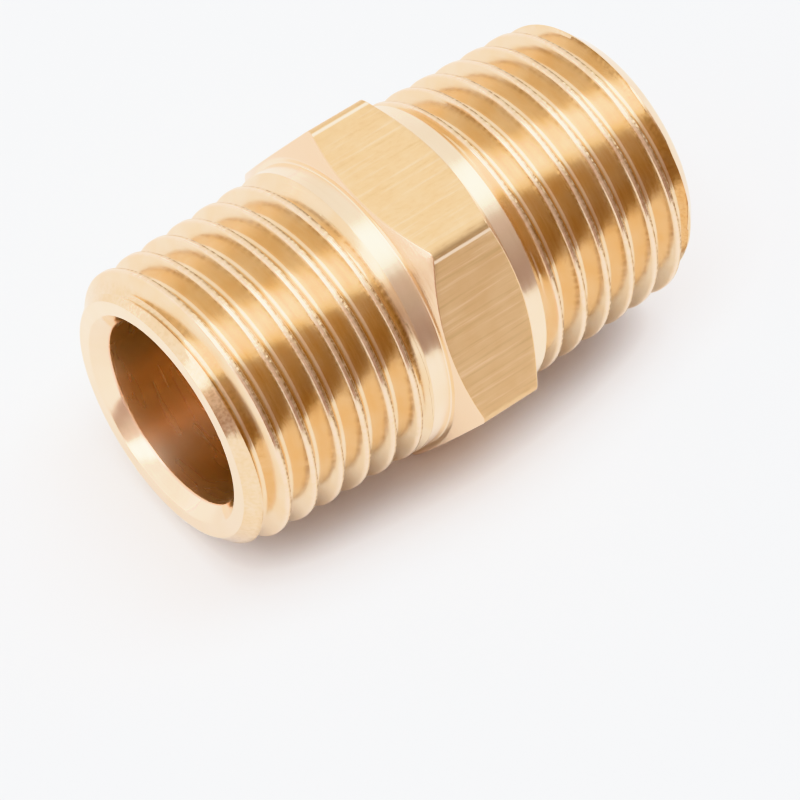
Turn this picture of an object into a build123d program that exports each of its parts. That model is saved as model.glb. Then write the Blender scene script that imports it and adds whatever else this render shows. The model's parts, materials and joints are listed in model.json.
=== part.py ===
"""Hex nipple for 1/4 inch pipe: one piece of brass turned from 14 mm hexagon bar.

The axis of the nipple lies along X, +Z is up, and the origin is in the middle of the hexagon
on the axis of the bore. The nipple rests on one flat of the hexagon. Both ends carry the same
male taper thread, right-handed, with its small end at the end face. All sizes are millimetres.
"""
import os
from math import cos, radians, sin, tan

from build123d import *

# Overall sizes
OVERALL_LENGTH = 24.0
ACROSS_FLATS = 14.0
BORE_DIAMETER = 8.6
BORE_CHAMFER = 0.6

# Hexagon: its corners are chamfered at both ends, outside a circle just inside the flats
HEX_WIDTH = 4.2
HEX_EDGE_RADIUS = 0.45
CORNER_CHAMFER_ANGLE = 31.0
CHAMFER_CIRCLE_RADIUS = 6.9

# Taper thread: 1/4 inch, 19 threads per inch, 55 degree form, taper 1 in 16 on the diameter
PITCH = 25.4 / 19
TAPER_HALF_ANGLE = 1.7899
FLANK_ANGLE = 27.5
MAJOR_RADIUS_AT_END = 6.39
THREAD_DEPTH = 0.640327 * PITCH
ROOT_ROUNDING = 0.137329 * PITCH
THREAD_LENGTH = 9.0

# Turn about the axis of the groove at the +X end, and of the whole -X end after that
GROOVE_TURN = 185.0
MINUS_X_END_TURN = 120.0

END_X = OVERALL_LENGTH / 2
HEX_FACE_X = HEX_WIDTH / 2
COLLAR_X = END_X - THREAD_LENGTH
TAPER_RISE = tan(radians(TAPER_HALF_ANGLE))
COLLAR_RADIUS = MAJOR_RADIUS_AT_END + THREAD_LENGTH * TAPER_RISE

# Lead chamfer of 45 degrees, from the bottom of the thread up to its crests
LEAD_RADIUS_AT_END = MAJOR_RADIUS_AT_END - THREAD_DEPTH
LEAD_LENGTH = THREAD_DEPTH / (1 - TAPER_RISE)

# Corner chamfer cone, from the chamfer circle out past the corners
CORNER_REACH = ACROSS_FLATS / 2 / cos(radians(30)) - CHAMFER_CIRCLE_RADIUS
CORNER_SETBACK = CORNER_REACH * tan(radians(CORNER_CHAMFER_ANGLE))

# The groove runs along a helix from outside the end face to inside the collar, and is
# trimmed where the collar begins
RUN_OVER = 1.2 * PITCH
HELIX_START_X = END_X + RUN_OVER
HELIX_START_RADIUS = MAJOR_RADIUS_AT_END - RUN_OVER * TAPER_RISE

# Groove section: an opening of one pitch less the flat crest, straight flanks, round root
APEX_DEPTH = THREAD_DEPTH + ROOT_ROUNDING * (1 / sin(radians(FLANK_ANGLE)) - 1)
HALF_OPENING = APEX_DEPTH * tan(radians(FLANK_ANGLE))
FLANK_END_DEPTH = THREAD_DEPTH - ROOT_ROUNDING * (1 - sin(radians(FLANK_ANGLE)))
FLANK_END_HALF_WIDTH = ROOT_ROUNDING * cos(radians(FLANK_ANGLE))
OVERCUT = 0.15

os.makedirs("parts", exist_ok=True)

# The cutter for one taper thread, shaped for the +X end
with BuildPart() as groove_cutter:
    with BuildLine() as groove_path:
        Helix(
            pitch=PITCH,
            height=THREAD_LENGTH + 2 * RUN_OVER,
            radius=HELIX_START_RADIUS,
            center=(HELIX_START_X, 0, 0),
            direction=(-1, 0, 0),
            cone_angle=TAPER_HALF_ANGLE,
        )
    start = groove_path.line @ 0
    outward = Vector(0, start.Y, start.Z)
    section_plane = Plane(origin=start, x_dir=(1, 0, 0), z_dir=Vector(1, 0, 0).cross(outward))
    with BuildSketch(section_plane):
        with BuildLine():
            Polyline(
                (-FLANK_END_HALF_WIDTH, -FLANK_END_DEPTH),
                (-HALF_OPENING, 0),
                (-HALF_OPENING, OVERCUT),
                (HALF_OPENING, OVERCUT),
                (HALF_OPENING, 0),
                (FLANK_END_HALF_WIDTH, -FLANK_END_DEPTH),
            )
            ThreePointArc(
                (FLANK_END_HALF_WIDTH, -FLANK_END_DEPTH),
                (0, -THREAD_DEPTH),
                (-FLANK_END_HALF_WIDTH, -FLANK_END_DEPTH),
            )
        make_face()
    sweep(path=groove_path.line, is_frenet=True)
    with BuildSketch(Plane.XY):
        with BuildLine():
            Polyline(
                (COLLAR_X, COLLAR_RADIUS),
                (COLLAR_X, 2 * COLLAR_RADIUS),
                (END_X + 2 * RUN_OVER, 2 * COLLAR_RADIUS),
                (END_X + 2 * RUN_OVER, BORE_DIAMETER / 2),
                (COLLAR_X + COLLAR_RADIUS - BORE_DIAMETER / 2, BORE_DIAMETER / 2),
                close=True,
            )
        make_face()
    revolve(axis=Axis.X, mode=Mode.INTERSECT)

# One threaded end, from the middle of the nipple out to +X
with BuildPart() as threaded_end:
    with BuildSketch(Plane.XY):
        with BuildLine():
            Polyline(
                (0, 0),
                (0, COLLAR_RADIUS),
                (COLLAR_X, COLLAR_RADIUS),
                (END_X - LEAD_LENGTH, MAJOR_RADIUS_AT_END + LEAD_LENGTH * TAPER_RISE),
                (END_X, LEAD_RADIUS_AT_END),
                (END_X, 0),
                close=True,
            )
        make_face()
    revolve(axis=Axis.X)
    add(groove_cutter.part, rotation=(GROOVE_TURN, 0, 0), mode=Mode.SUBTRACT)

# The nipple
with BuildPart() as hex_nipple_body:
    # Hexagon bar with slightly rounded edges, two flats level
    with BuildSketch(Plane.YZ.offset(-HEX_FACE_X)) as bar_section:
        RegularPolygon(ACROSS_FLATS / 2, 6, major_radius=False)
        fillet(bar_section.vertices(), HEX_EDGE_RADIUS)
    extrude(amount=HEX_WIDTH)

    # Corner chamfers, turned at both ends of the hexagon
    with BuildSketch(Plane.XY):
        with BuildLine():
            Polyline(
                (-HEX_FACE_X, 0),
                (-HEX_FACE_X, CHAMFER_CIRCLE_RADIUS),
                (CORNER_SETBACK - HEX_FACE_X, CHAMFER_CIRCLE_RADIUS + CORNER_REACH),
                (HEX_FACE_X - CORNER_SETBACK, CHAMFER_CIRCLE_RADIUS + CORNER_REACH),
                (HEX_FACE_X, CHAMFER_CIRCLE_RADIUS),
                (HEX_FACE_X, 0),
                close=True,
            )
        make_face()
    revolve(axis=Axis.X, mode=Mode.INTERSECT)

    # The same threaded end on both sides
    add(threaded_end.part)
    add(threaded_end.part.rotate(Axis.Z, 180).rotate(Axis.X, MINUS_X_END_TURN))

    # Bore right through, with a small chamfer at each mouth
    with BuildSketch(Plane.YZ.offset(-END_X)):
        Circle(BORE_DIAMETER / 2)
    extrude(amount=OVERALL_LENGTH, mode=Mode.SUBTRACT)
    mouths = hex_nipple_body.edges().filter_by(GeomType.CIRCLE)
    mouths = mouths.filter_by(lambda edge: abs(edge.radius - BORE_DIAMETER / 2) < 0.01)
    chamfer(mouths, BORE_CHAMFER)

hex_nipple_body.part.label = "hex_nipple_body"
export_step(hex_nipple_body.part, "parts/hex_nipple_body.step")
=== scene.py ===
"""Brass hex nipple on a pale floor.

The nipple is one closed mesh: rows of a profile, by columns round the bore. On the threads the
rows run along the helix, so that crests, flanks and roots keep their shape. The mesh is worked
out in millimetres in the frame's axes, with X along the bore and Z up out of a flat. An angle
about the bore is in degrees, 0 at -Y and 90 at +Z.
"""
import json
from math import atan, cos, degrees, pi, radians, sin, tan

import bmesh
import bpy
import numpy as np
from mathutils import Matrix, Vector


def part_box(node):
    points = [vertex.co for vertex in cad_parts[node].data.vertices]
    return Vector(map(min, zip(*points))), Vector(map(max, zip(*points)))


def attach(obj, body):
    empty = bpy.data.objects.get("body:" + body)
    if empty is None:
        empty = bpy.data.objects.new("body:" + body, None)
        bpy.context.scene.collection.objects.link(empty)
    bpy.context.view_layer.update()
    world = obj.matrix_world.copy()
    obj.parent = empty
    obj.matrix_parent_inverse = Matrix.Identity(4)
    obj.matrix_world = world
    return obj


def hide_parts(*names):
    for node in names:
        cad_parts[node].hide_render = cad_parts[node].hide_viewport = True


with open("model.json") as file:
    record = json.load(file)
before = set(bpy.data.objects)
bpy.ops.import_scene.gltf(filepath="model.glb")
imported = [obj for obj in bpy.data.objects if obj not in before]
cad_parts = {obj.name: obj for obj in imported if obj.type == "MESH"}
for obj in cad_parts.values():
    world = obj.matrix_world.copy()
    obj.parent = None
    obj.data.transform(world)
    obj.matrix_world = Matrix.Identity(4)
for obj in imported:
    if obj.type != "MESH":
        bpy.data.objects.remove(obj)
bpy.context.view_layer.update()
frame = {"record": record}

MM = 0.001
NODE = "hex_nipple_body"
node_low, node_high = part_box(NODE)
mounts = {mount["name"]: mount for mount in frame["record"]["mounts"]}

# Sizes from the frame, in millimetres
END_X = node_high.x / MM
FLAT_RADIUS = node_high.z / MM
BORE_RADIUS = mounts["through_bore"]["dims"]["r_mm"]
MAJOR_RADIUS_AT_END = mounts["thread_plus_x"]["dims"]["r_mm"]
THREAD_LENGTH = mounts["thread_plus_x"]["dims"]["length_mm"]

# Sizes that the frame doesn't give, as the CAD model has them
BORE_CHAMFER = 0.6
HEX_FACE_X = 2.1
HEX_EDGE_RADIUS = 0.45
CHAMFER_CIRCLE_RADIUS = 6.9
CORNER_CHAMFER_SLOPE = tan(radians(31.0))
PITCH = 25.4 / 19
TAPER_RISE = tan(radians(1.7899))
FLANK = radians(27.5)
THREAD_DEPTH = 0.640327 * PITCH
ROOT_ROUNDING = 0.137329 * PITCH
# Where the middle of a groove crosses the -Y side, on each end
GROOVE_X = {1: 0.551, -1: 1.009}

# Centre of a rounded edge of the hexagon, and half the angle that the rounding takes up
EDGE_CENTRE = (FLAT_RADIUS - HEX_EDGE_RADIUS) / cos(pi / 6)
EDGE_ANGLE = degrees(atan(HEX_EDGE_RADIUS * sin(pi / 6) / (EDGE_CENTRE + HEX_EDGE_RADIUS * cos(pi / 6))))

COLLAR_X = END_X - THREAD_LENGTH
COLLAR_RADIUS = MAJOR_RADIUS_AT_END + THREAD_LENGTH * TAPER_RISE
LEAD_RADIUS_AT_END = MAJOR_RADIUS_AT_END - THREAD_DEPTH
APEX_DEPTH = THREAD_DEPTH + ROOT_ROUNDING * (1 / sin(FLANK) - 1)

# Keeps the mesh a hair inside the CAD model's box
INSIDE = 0.99999

# Degrees between columns, and where the extra columns lie on a rounded edge of the hexagon, as
# shares of EDGE_ANGLE
COLUMN_STEP = 2.4
EDGE_SHARES = (-1, -0.75, -0.5, -0.25, 0.25, 0.5, 0.75, 1)

# Distances of the thread's rows from the middle of a groove, closer together on roots and crests
ROW_OFFSETS = (0.0, 0.05, 0.095, 0.14, 0.18, 0.235, 0.3, 0.37, 0.44, 0.495, 0.53, 0.56, 0.59, 0.63)

# How far the thread's surfaces blend where they meet
BLEND = 0.05

# How far the rounding of each corner of the profile reaches along its two sides
FOOT_ROUNDING = 0.06
SHOULDER_ROUNDING = 0.04
CHAMFER_ROUNDING = 0.05
RIM_ROUNDING = 0.03
THROAT_ROUNDING = 0.06

# The rows inside the bore run out to this X at both ends
BORE_ROWS_X = 10.5
BORE_ROWS = 22

# Points of the mesh nearer than this are one point, and sharper edges than this aren't smoothed
MERGE_DISTANCE = 0.001 * MM
SHARP_ANGLE = radians(35)

# The regions of the surface, which are also its material slots
FLAT, TURNED, THREAD, BORE = range(4)


# ---------------------------------------------------------------- shape

def column_angles():
    """Angles of the columns, closer together on the hexagon's rounded edges."""
    steps = [share * EDGE_ANGLE for share in EDGE_SHARES]
    angles = {COLUMN_STEP * i for i in range(round(360 / COLUMN_STEP))}
    angles |= {(60 * i + step) % 360 for i in range(6) for step in steps}
    return np.array(sorted(angles) + [360.0])


def soft_min(a, b, width):
    """The smaller of two, rounded off where they are nearer than width."""
    share = np.clip(0.5 + 0.5 * (b - a) / width, 0, 1)
    return b + (a - b) * share - width * share * (1 - share)


def hexagon_radius(angle):
    """Distance from the axis to the hexagon's side."""
    off_edge = np.abs((angle + 30) % 60 - 30)
    flat = FLAT_RADIUS / np.cos(np.radians(30 - off_edge))
    turn = np.radians(np.minimum(off_edge, EDGE_ANGLE))
    edge = EDGE_CENTRE * np.cos(turn) + np.sqrt(HEX_EDGE_RADIUS**2 - (EDGE_CENTRE * np.sin(turn)) ** 2)
    return np.where(off_edge < EDGE_ANGLE, edge, flat)


def groove_depth(x, angle, side):
    """Depth of the thread's groove, 0 on the crests, as it slopes out to nothing at the collar."""
    off_middle = x - GROOVE_X[side] + PITCH * angle / 360
    across = np.abs((off_middle + PITCH / 2) % PITCH - PITCH / 2)
    round_root = THREAD_DEPTH - ROOT_ROUNDING + np.sqrt(np.maximum(ROOT_ROUNDING**2 - across**2, 0))
    depth = np.where(across < ROOT_ROUNDING * cos(FLANK), round_root, APEX_DEPTH - across / tan(FLANK))
    run_out = (np.abs(x) - COLLAR_X) * (1 - TAPER_RISE)
    return -soft_min(-soft_min(depth, run_out, BLEND), 0 * depth, BLEND)


def thread_radius(x, angle, side):
    """Radius of the thread, with its lead chamfer at the end face."""
    from_end = END_X - np.abs(x)
    thread = MAJOR_RADIUS_AT_END + from_end * TAPER_RISE - groove_depth(x, angle, side)
    return soft_min(thread, LEAD_RADIUS_AT_END + from_end, BLEND)


def thread_rows(angle, side):
    """Rows along the helix over one end, in order of X. A row that has left the end stays on its
    boundary, and its points are merged there later."""
    offsets = sorted({-offset for offset in ROW_OFFSETS} | set(ROW_OFFSETS) | {PITCH / 2})
    low, high = sorted((side * COLLAR_X, side * END_X))
    first = int(np.floor((low - GROOVE_X[side]) / PITCH)) - 1
    last = int(np.ceil((high - GROOVE_X[side]) / PITCH)) + 2
    rows = []
    for turn in range(first, last):
        for offset in offsets:
            helix_x = GROOVE_X[side] + (turn + 0 * angle) * PITCH + offset - PITCH * angle / 360
            x = np.clip(helix_x, low, high)
            rows.append((x, thread_radius(x, angle, side)))
    return rows


def rounded(before, corner, after, reach, steps=3):
    """Points on a curve that rounds a corner of the profile. It starts and ends at reach from the
    corner, or at 0.45 of a side that is too short for that."""
    ends = []
    for other in (before, after):
        dx, dr = other[0] - corner[0], other[1] - corner[1]
        length = np.hypot(dx, dr) + 1e-9
        share = np.minimum(reach / length, 0.45)
        ends.append((corner[0] + dx * share, corner[1] + dr * share))
    points = []
    for i in range(steps + 1):
        t = i / steps
        weights = (1 - t) ** 2, 2 * t * (1 - t), t * t
        points.append(tuple(weights[0] * ends[0][k] + weights[1] * corner[k] + weights[2] * ends[1][k]
                            for k in (0, 1)))
    return points


def between(start, end, shares):
    """Points at the given shares of the way from start to end."""
    return [(start[0] + (end[0] - start[0]) * share, start[1] + (end[1] - start[1]) * share)
            for share in shares]


def in_region(points, region):
    """The points as rows, each with the region after it."""
    return [(*point, region) for point in points]


def hexagon_rows(angle):
    """Rows from one collar over the hexagon to the other, with the region after each row."""
    side_radius = hexagon_radius(angle)
    zero = 0 * angle
    cone = (side_radius - CHAMFER_CIRCLE_RADIUS) * CORNER_CHAMFER_SLOPE
    collar = (zero + COLLAR_X, zero + COLLAR_RADIUS)
    foot = (zero + HEX_FACE_X, zero + COLLAR_RADIUS)
    circle = (zero + HEX_FACE_X, zero + CHAMFER_CIRCLE_RADIUS)
    corner = (HEX_FACE_X - cone, side_radius)
    middle = (zero, side_radius)
    half = in_region([collar] + between(collar, foot, (0.25, 0.5, 0.75)), TURNED)
    half += in_region(rounded(collar, foot, circle, FOOT_ROUNDING), TURNED)
    half += in_region(rounded(foot, circle, corner, SHOULDER_ROUNDING), TURNED)
    half += in_region(between(circle, corner, (0.35, 0.65)), TURNED)
    edge = rounded(circle, corner, middle, CHAMFER_ROUNDING)
    half += in_region(edge[:-1], TURNED) + in_region(edge[-1:], FLAT)
    half += in_region(between(corner, middle, (0.2, 0.4, 0.6, 0.8)), FLAT)
    minus = [(-x, radius, region) for x, radius, region in half]
    return minus + [(*middle, FLAT)] + half[::-1]


def end_rows(angle, side):
    """Rows from the lead chamfer over the end face and into the bore."""
    zero = 0 * angle
    rim = (zero + side * END_X, zero + LEAD_RADIUS_AT_END)
    up_lead = (zero + side * (END_X - 0.5), zero + LEAD_RADIUS_AT_END + 0.5)
    mouth = (zero + side * END_X, zero + BORE_RADIUS + BORE_CHAMFER)
    throat = (zero + side * (END_X - BORE_CHAMFER), zero + BORE_RADIUS)
    inside = (zero + side * (END_X - 1), zero + BORE_RADIUS)
    # The thread's rows end on the rim, so the rim's rounding starts halfway
    rows = in_region(rounded(up_lead, rim, mouth, RIM_ROUNDING)[2:], TURNED)
    rows += in_region(between(rim, mouth, (0.2, 0.4, 0.6, 0.8)), TURNED)
    rows += in_region(rounded(rim, mouth, throat, RIM_ROUNDING), TURNED)
    rows += in_region(rounded(mouth, throat, inside, THROAT_ROUNDING), BORE)
    return rows


def profile_rows(angle):
    """Every row of the closed profile: outside from -X to +X, then back through the bore."""
    zero = 0 * angle
    rows = in_region(thread_rows(angle, -1), THREAD)
    rows += hexagon_rows(angle)
    rows += in_region(thread_rows(angle, 1), THREAD)
    rows += end_rows(angle, 1)
    rows += [(zero + x, zero + BORE_RADIUS, BORE)
             for x in np.linspace(BORE_ROWS_X, -BORE_ROWS_X, BORE_ROWS)]
    rows += end_rows(angle, -1)[::-1]
    return rows


def build_nipple():
    """The nipple's mesh, smooth but for its sharp edges, with a material slot for each region."""
    angle = column_angles()
    rows = profile_rows(angle)
    x = np.array([row[0] for row in rows])
    radius = np.array([row[1] for row in rows]) * INSIDE
    turn = np.radians(angle)
    points = np.stack([x, -radius * np.cos(turn), radius * np.sin(turn)], -1).reshape(-1, 3) * MM
    row_count, column_count = x.shape
    mesh = bpy.data.meshes.new("hex_nipple")
    faces, regions = [], []
    for i in range(row_count):
        j = (i + 1) % row_count
        for k in range(column_count - 1):
            faces.append((i * column_count + k, j * column_count + k,
                          j * column_count + k + 1, i * column_count + k + 1))
            regions.append(min(rows[i][2], rows[j][2]))
    mesh.from_pydata(points, [], faces)
    mesh.polygons.foreach_set("material_index", regions)
    grid = bmesh.new()
    grid.from_mesh(mesh)
    bmesh.ops.remove_doubles(grid, verts=grid.verts, dist=MERGE_DISTANCE)
    bmesh.ops.recalc_face_normals(grid, faces=grid.faces)
    grid.to_mesh(mesh)
    grid.free()
    piece = bpy.data.objects.new("hex_nipple", mesh)
    bpy.context.scene.collection.objects.link(piece)
    mesh.shade_smooth()
    mesh.set_sharp_from_angle(angle=SHARP_ANGLE)
    add_thread_attributes(mesh)
    return piece


def add_thread_attributes(mesh):
    """Two numbers for the thread's material: "groove" is the depth in the groove, from 0 on a crest
    to 1 at the root, and "crest" is the distance from the crest's middle towards +X in millimetres.
    On the lead chamfer the groove's depth is counted from where the crests would be."""
    places = np.empty(len(mesh.vertices) * 3)
    mesh.vertices.foreach_get("co", places)
    x, y, z = places.reshape(-1, 3).T / MM
    angle = np.degrees(np.arctan2(z, -y)) % 360
    crest_radius = MAJOR_RADIUS_AT_END + (END_X - np.abs(x)) * TAPER_RISE
    groove = np.where(np.abs(x) < COLLAR_X, 0, (crest_radius - np.hypot(y, z)) / THREAD_DEPTH)
    off_middle = x - np.where(x > 0, GROOVE_X[1], GROOVE_X[-1]) + PITCH * angle / 360
    crest = off_middle % PITCH - PITCH / 2
    for name, values in (("groove", groove), ("crest", crest)):
        mesh.attributes.new(name, "FLOAT", "POINT").data.foreach_set("value", values)


# ---------------------------------------------------------------- materials

# A middle radius of the nipple, that turns an angle into a length
ARC_RADIUS = 6.5
SIXTH_ARC = ARC_RADIUS * pi / 3

BRASS = (0.80, 0.63, 0.43, 1)
BRASS_DEEP = (0.78, 0.58, 0.36, 1)
BRASS_PALE = (0.95, 0.78, 0.58, 1)
BRASS_PALE_DEEP = (0.90, 0.73, 0.52, 1)
BRASS_CONE = (0.80, 0.57, 0.37, 1)
BRASS_BORE = (0.95, 0.71, 0.52, 1)
BRASS_BORE_DEEP = (0.91, 0.65, 0.46, 1)
BRASS_SATIN = (0.71, 0.49, 0.27, 1)
BRASS_SATIN_DEEP = (0.68, 0.455, 0.24, 1)
# Painted highlight along the -X side of each crest
CREST_PAINTED_HIGHLIGHT = (1.0, 0.79, 0.59, 1)
# Dark nicks along the +X side of each crest, their colour partly painted shade
CREST_TORN_AND_SHADE = (0.30, 0.16, 0.07, 1)
LEAD_SPECKLE = (0.50, 0.32, 0.17, 1)
DRAWN_DARK = (0.50, 0.33, 0.16, 1)
DRAWN_LIGHT = (0.97, 0.78, 0.54, 1)
# Painted shade on the hexagon's edges
EDGE_PAINTED_SHADE = (0.36, 0.23, 0.12, 1)
# Painted highlight beside each edge of the hexagon
EDGE_PAINTED_HIGHLIGHT = (0.98, 0.86, 0.70, 1)

# The middle and the half width of each line, in millimetres: on a crest, measured from the
# crest's middle, and beside an edge of the hexagon, measured from the edge
# Painted highlight line on a crest
CREST_HIGHLIGHT_LINE = (-0.07, 0.1)
# Nicks on a crest, darkened partly by painted shade
CREST_TORN_AND_SHADE_LINE = (0.14, 0.16)
# Band of painted shade on an edge of the hexagon
EDGE_SHADE_LINE = (0.04, 0.24)
# Painted highlight line beside an edge of the hexagon
EDGE_HIGHLIGHT_LINE = (-0.22, 0.07)


class Nodes:
    """Adds nodes to a material or a world, with a number or a socket for each input."""

    def __init__(self, owner):
        self.tree = owner.node_tree

    def add(self, kind, **settings):
        node = self.tree.nodes.new("ShaderNode" + kind)
        for key, value in settings.items():
            setattr(node, key, value)
        return node

    def put(self, socket, value):
        if isinstance(value, bpy.types.NodeSocket):
            self.tree.links.new(value, socket)
        else:
            socket.default_value = value

    def math(self, operation, *values):
        node = self.add("Math", operation=operation)
        for socket, value in zip(node.inputs, values):
            self.put(socket, value)
        return node.outputs[0]

    def times(self, a, b):
        return self.math("MULTIPLY", a, b)

    def vector(self, *parts):
        """A vector of up to three parts, with 0 for those left out."""
        node = self.add("CombineXYZ")
        for socket, part in zip(node.inputs, parts):
            self.put(socket, part)
        return node.outputs[0]

    def noise(self, vector, scale=1.0, detail=2.0, roughness=0.5):
        node = self.add("TexNoise")
        self.put(node.inputs["Vector"], vector)
        self.put(node.inputs["Scale"], scale)
        self.put(node.inputs["Detail"], detail)
        self.put(node.inputs["Roughness"], roughness)
        return node.outputs["Fac"]

    def range(self, value, low, high, to_low=0.0, to_high=1.0):
        """The value, mapped from low...high to to_low...to_high and held inside that."""
        node = self.add("MapRange")
        for name, given in (("Value", value), ("From Min", low), ("From Max", high),
                            ("To Min", to_low), ("To Max", to_high)):
            self.put(node.inputs[name], given)
        return node.outputs[0]

    def band(self, value, centre, half_width):
        """1 near the centre, falling to 0 at half_width from it."""
        off = self.math("ABSOLUTE", self.math("SUBTRACT", value, centre))
        return self.range(off, half_width, half_width * 0.4)

    def mix(self, share, a, b):
        """A colour between a and b."""
        node = self.add("Mix", data_type="RGBA")
        self.put(node.inputs["Factor"], share)
        self.put(node.inputs[6], a)
        self.put(node.inputs[7], b)
        return node.outputs[2]

    def clouds(self, place, scale, a, b):
        """The colours a and b in soft clouds."""
        return self.mix(self.range(self.noise(self.vector(*place), scale=scale), 0.35, 0.65), a, b)

    def bump(self, height, distance, normal=None):
        node = self.add("Bump")
        self.put(node.inputs["Height"], height)
        self.put(node.inputs["Distance"], distance)
        if normal:
            self.put(node.inputs["Normal"], normal)
        return node.outputs[0]

    def around_bore(self):
        """X, radius and arc length round the bore at ARC_RADIUS, all in millimetres."""
        split = self.add("SeparateXYZ")
        self.put(split.inputs[0], self.add("TexCoord").outputs["Object"])
        x, y, z = (self.times(output, 1 / MM) for output in split.outputs)
        radius = self.math("SQRT", self.math("ADD", self.times(y, y), self.times(z, z)))
        turn = self.math("ARCTAN2", z, self.times(y, -1.0))
        return x, radius, self.times(turn, ARC_RADIUS)


def new_material(name):
    """Nodes for a new material, which also hold the material and its shader."""
    material = bpy.data.materials.new(name)
    material.use_nodes = True
    nodes = Nodes(material)
    nodes.material = material
    nodes.shader = nodes.tree.nodes["Principled BSDF"]
    return nodes


def brass(name, anisotropy, rotation):
    """Nodes for a brass, polished along or across the bore."""
    nodes = new_material(name)
    nodes.shader.inputs["Metallic"].default_value = 1.0
    nodes.shader.inputs["Anisotropic"].default_value = anisotropy
    nodes.shader.inputs["Anisotropic Rotation"].default_value = rotation
    tangent = nodes.add("Tangent", direction_type="RADIAL", axis="X")
    nodes.put(nodes.shader.inputs["Tangent"], tangent.outputs[0])
    return nodes


def finish_material(nodes, colour, roughness, normal=None):
    """Joins what varies over the surface to the shader, and gives back the material."""
    nodes.put(nodes.shader.inputs["Base Color"], colour)
    nodes.put(nodes.shader.inputs["Roughness"], roughness)
    if normal:
        nodes.put(nodes.shader.inputs["Normal"], normal)
    return nodes.material


def flat_material():
    """Drawn bar: lines and grain along the bore. Each edge of the hexagon has a band of painted shade,
    with a painted highlight line beside it, and the upper edge in front has the darkest painted shade."""
    nodes = brass("brass_drawn_flat", 0.4, 0.0)
    x, radius, arc = nodes.around_bore()
    lines = nodes.noise(nodes.vector(nodes.times(x, 0.12), nodes.times(arc, 4.2)),
                        detail=3.0, roughness=0.75)
    grain = nodes.noise(nodes.vector(nodes.times(x, 2.5), nodes.times(arc, 9.0)))
    off_edge = nodes.math("FLOORED_MODULO", nodes.math("ADD", arc, SIXTH_ARC / 2), SIXTH_ARC)
    off_edge = nodes.math("SUBTRACT", off_edge, SIXTH_ARC / 2)
    # Painted shade on each edge of the hexagon, darkest on the upper edge in front
    upper_front_shade = nodes.range(nodes.band(arc, SIXTH_ARC, SIXTH_ARC), 0.0, 1.0, 0.25, 1.0)
    edge_shade = nodes.times(nodes.band(off_edge, *EDGE_SHADE_LINE), upper_front_shade)
    # Painted highlight line beside each edge
    bright = nodes.band(off_edge, *EDGE_HIGHLIGHT_LINE)

    colour = nodes.clouds((x, arc, radius), 0.8, BRASS_SATIN, BRASS_SATIN_DEEP)
    colour = nodes.mix(nodes.range(lines, 0.53, 0.66, 0.0, 0.36), colour, DRAWN_DARK)
    colour = nodes.mix(nodes.range(lines, 0.46, 0.32, 0.0, 0.3), colour, DRAWN_LIGHT)
    # Paints the shade on the edges
    colour = nodes.mix(nodes.times(edge_shade, 0.85), colour, EDGE_PAINTED_SHADE)
    colour = nodes.mix(nodes.times(bright, 0.7), colour, EDGE_PAINTED_HIGHLIGHT)
    edge_roughness = nodes.times(nodes.math("MAXIMUM", edge_shade, bright), 0.2)
    roughness = nodes.math("ADD", nodes.range(grain, 0.3, 0.7, 0.3, 0.42), edge_roughness)
    return finish_material(nodes, colour, roughness, nodes.bump(lines, 0.0015 * MM))


def turned_material():
    """Fine rings from the lathe tool. The chamfers at the bore's mouths are smoother, and the
    corner chamfers of the hexagon are deeper in colour."""
    nodes = brass("brass_turned", 0.6, 0.25)
    x, radius, arc = nodes.around_bore()
    across = nodes.math("ADD", nodes.times(x, 0.618), radius)
    rings = nodes.noise(nodes.vector(nodes.times(across, 9.0), nodes.times(arc, 0.12)),
                        detail=4.0, roughness=0.6)
    cone = nodes.range(radius, CHAMFER_CIRCLE_RADIUS - 0.05, CHAMFER_CIRCLE_RADIUS + 0.05)
    mouth_radius = BORE_RADIUS + BORE_CHAMFER
    chamfer = nodes.times(nodes.range(radius, mouth_radius, mouth_radius - 0.05),
                          nodes.range(nodes.math("ABSOLUTE", x), END_X - 1.2, END_X - 1.0))

    colour = nodes.clouds((x, arc, radius), 0.6, BRASS_PALE_DEEP, BRASS_PALE)
    colour = nodes.mix(nodes.range(rings, 0.55, 0.75, 0.0, 0.25), colour, BRASS)
    colour = nodes.mix(nodes.times(cone, 0.8), colour, BRASS_CONE)
    roughness = nodes.math("SUBTRACT", nodes.range(rings, 0.3, 0.7, 0.16, 0.26),
                           nodes.times(chamfer, 0.09))
    return finish_material(nodes, colour, roughness, nodes.bump(rings, 0.004 * MM))


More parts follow.
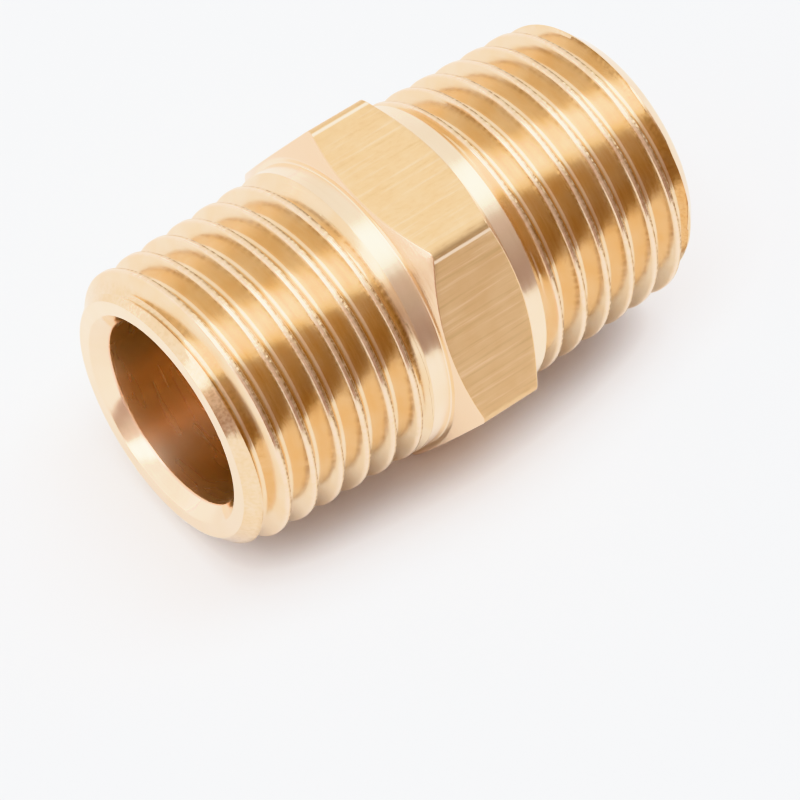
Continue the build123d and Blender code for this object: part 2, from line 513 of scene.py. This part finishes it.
def thread_material():
    """Smooth cut flanks; crests with a broken painted highlight line towards -X, and dark nicks towards
    +X where the metal tore, with painted shade along them; and a smoother lead chamfer with dull
    speckles."""
    nodes = brass("brass_thread", 0.6, 0.25)
    x, radius, arc = nodes.around_bore()
    groove = nodes.add("Attribute", attribute_name="groove").outputs["Fac"]
    crest = nodes.add("Attribute", attribute_name="crest").outputs["Fac"]
    along = nodes.math("ADD", x, nodes.times(arc, PITCH / (2 * pi * ARC_RADIUS)))
    marks = nodes.noise(nodes.vector(nodes.times(along, 12.0), nodes.times(arc, 0.3), radius), detail=3.0)
    ticks = nodes.noise(nodes.vector(nodes.times(x, 3.0), nodes.times(arc, 5.0)),
                        detail=3.0, roughness=0.6)
    grain = nodes.noise(nodes.vector(x, arc, radius), scale=6.0)
    # Painted highlight along each crest's -X side, broken by the ticks
    light = nodes.times(nodes.range(groove, 0.25, 0.05), nodes.band(crest, *CREST_HIGHLIGHT_LINE))
    light = nodes.times(light, nodes.range(ticks, 0.6, 0.42, 0.25, 1.0))
    # Nicks along each crest's +X side: real roughness and bumps, and a dark colour that is partly painted
    # shade
    torn_and_shade = nodes.times(nodes.range(groove, 0.5, 0.2), nodes.band(crest, *CREST_TORN_AND_SHADE_LINE))
    dark = nodes.times(torn_and_shade, nodes.range(ticks, 0.4, 0.55, 0.35, 1.0))
    lead = nodes.range(nodes.math("ABSOLUTE", x), END_X - THREAD_DEPTH, END_X - THREAD_DEPTH + 0.1)
    speckle = nodes.times(lead, nodes.range(grain, 0.4, 0.65))

    colour = nodes.clouds((x, arc, radius), 0.7, BRASS, BRASS_DEEP)
    colour = nodes.mix(nodes.times(light, 0.75), colour, CREST_PAINTED_HIGHLIGHT)
    colour = nodes.mix(nodes.times(dark, 0.9), colour, CREST_TORN_AND_SHADE)
    colour = nodes.mix(nodes.times(speckle, 0.4), colour, LEAD_SPECKLE)
    roughness = nodes.math("ADD", nodes.range(marks, 0.3, 0.7, 0.15, 0.25), nodes.times(torn_and_shade, 0.15))
    roughness = nodes.math("SUBTRACT", roughness, nodes.times(lead, 0.08))
    normal = nodes.bump(marks, 0.003 * MM)
    normal = nodes.bump(nodes.times(ticks, torn_and_shade), 0.05 * MM, normal)
    return finish_material(nodes, colour, roughness, normal)


def bore_material():
    """Drilled: nearly smooth, with faint rings."""
    nodes = brass("brass_bore", 0.5, 0.25)
    x, _, arc = nodes.around_bore()
    rings = nodes.noise(nodes.vector(nodes.times(x, 2.0), nodes.times(arc, 0.2)), detail=1.0)
    colour = nodes.mix(rings, BRASS_BORE, BRASS_BORE_DEEP)
    return finish_material(nodes, colour, nodes.range(rings, 0.0, 1.0, 0.24, 0.3))


# ---------------------------------------------------------------- studio

FLOOR_PALE = (0.79, 0.745, 0.725, 1)
# Painted shade for the floor in front, seen only as a reflection in the brass
FLOOR_PAINTED_SHADE = (0.24, 0.2, 0.17, 1)

# Tints of the light
WHITE = (1, 1, 1)
WARM = (1.1, 0.90, 0.84)
TAN = (1.12, 0.84, 0.78)
COOL = (0.93, 1.06, 1.14)


def build_floor():
    """A pale sheet that turns to painted shade in front of the nipple, past what the camera sees."""
    size, shade_from, shade_to = 3.0, -0.09, -0.35
    mesh = bpy.data.meshes.new("floor")
    z = node_low.z
    corners = [(-size, -size, z), (size, -size, z), (size, size, z), (-size, size, z)]
    mesh.from_pydata(corners, [], [(0, 1, 2, 3)])
    floor = bpy.data.objects.new("floor", mesh)
    bpy.context.scene.collection.objects.link(floor)
    nodes = new_material("pale_floor")
    split = nodes.add("SeparateXYZ")
    nodes.put(split.inputs[0], nodes.add("TexCoord").outputs["Object"])
    # Painted shade on the floor in front of the nipple
    front_shade = nodes.range(split.outputs[1], shade_from, shade_to)
    nodes.put(nodes.shader.inputs["Base Color"], nodes.mix(front_shade, FLOOR_PALE, FLOOR_PAINTED_SHADE))
    nodes.shader.inputs["Roughness"].default_value = 0.8
    nodes.shader.inputs["Specular IOR Level"].default_value = 0.1
    mesh.materials.append(nodes.material)


def build_world():
    """A studio that is the same all along the bore's axis, but a little brighter towards -X: dim in
    front, a long soft strip overhead, and a pale wall behind. Each stop is an angle up from the
    front, in degrees, the light's level there and its tint."""
    strip, fall_off = 5.4, 0.25
    stops = [(0, 0.55, TAN), (10, 0.45, TAN), (20, 0.48, TAN), (38, 0.6, WARM), (58, 0.72, WARM),
             (68, 1.0, WHITE), (79, strip, COOL), (99, strip, COOL), (109, 1.3, WHITE), (150, 1.3, WHITE),
             (165, 1.45, WHITE), (180, 1.9, WHITE)]
    world = bpy.data.worlds.new("studio")
    bpy.context.scene.world = world
    world.use_nodes = True
    nodes = Nodes(world)
    split = nodes.add("SeparateXYZ")
    nodes.put(split.inputs[0], nodes.add("TexCoord").outputs["Generated"])
    front = nodes.math("MULTIPLY", split.outputs[1], -1.0)
    turn = nodes.math("DIVIDE", nodes.math("ARCTAN2", split.outputs[2], front), pi)
    ramp = nodes.add("ValToRGB")
    nodes.put(ramp.inputs[0], turn)
    elements = ramp.color_ramp.elements
    elements[1].position = 1.0
    for angle, _, _ in stops[1:-1]:
        elements.new(angle / 180)
    for element, (angle, level, tint) in zip(elements, stops):
        element.position = angle / 180
        element.color = [level / strip * share for share in tint] + [1]
    back = nodes.tree.nodes["Background"]
    nodes.put(back.inputs["Color"], ramp.outputs[0])
    level = nodes.math("MULTIPLY", split.outputs[0], -fall_off * strip)
    nodes.put(back.inputs["Strength"], nodes.math("ADD", level, strip))


def build_camera():
    """A long lens from in front, to the left of the axis and above, turned a little about its view."""
    azimuth, elevation, roll = radians(-43.03), radians(54.19), radians(4.99)
    distance, offset_right, offset_up = 0.19016, -0.000467, 0.00502
    back = Vector((sin(azimuth) * cos(elevation), -cos(azimuth) * cos(elevation), sin(elevation)))
    level = (-back).cross(Vector((0, 0, 1))).normalized()
    upright = level.cross(-back)
    right = cos(roll) * level + sin(roll) * upright
    up = cos(roll) * upright - sin(roll) * level
    place = back * distance - right * offset_right - up * offset_up
    data = bpy.data.cameras.new("camera")
    data.lens = 204.1
    data.sensor_width = 36
    data.clip_start = 0.01
    camera = bpy.data.objects.new("camera", data)
    bpy.context.scene.collection.objects.link(camera)
    camera.matrix_world = Matrix((right, up, back)).transposed().to_4x4()
    camera.location = place
    bpy.context.scene.camera = camera


nipple = build_nipple()
for material in (flat_material(), turned_material(), thread_material(), bore_material()):
    nipple.data.materials.append(material)
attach(nipple, "root")
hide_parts(NODE)

build_floor()
build_world()
build_camera()
bpy.context.scene.view_settings.view_transform = "Khronos PBR Neutral"
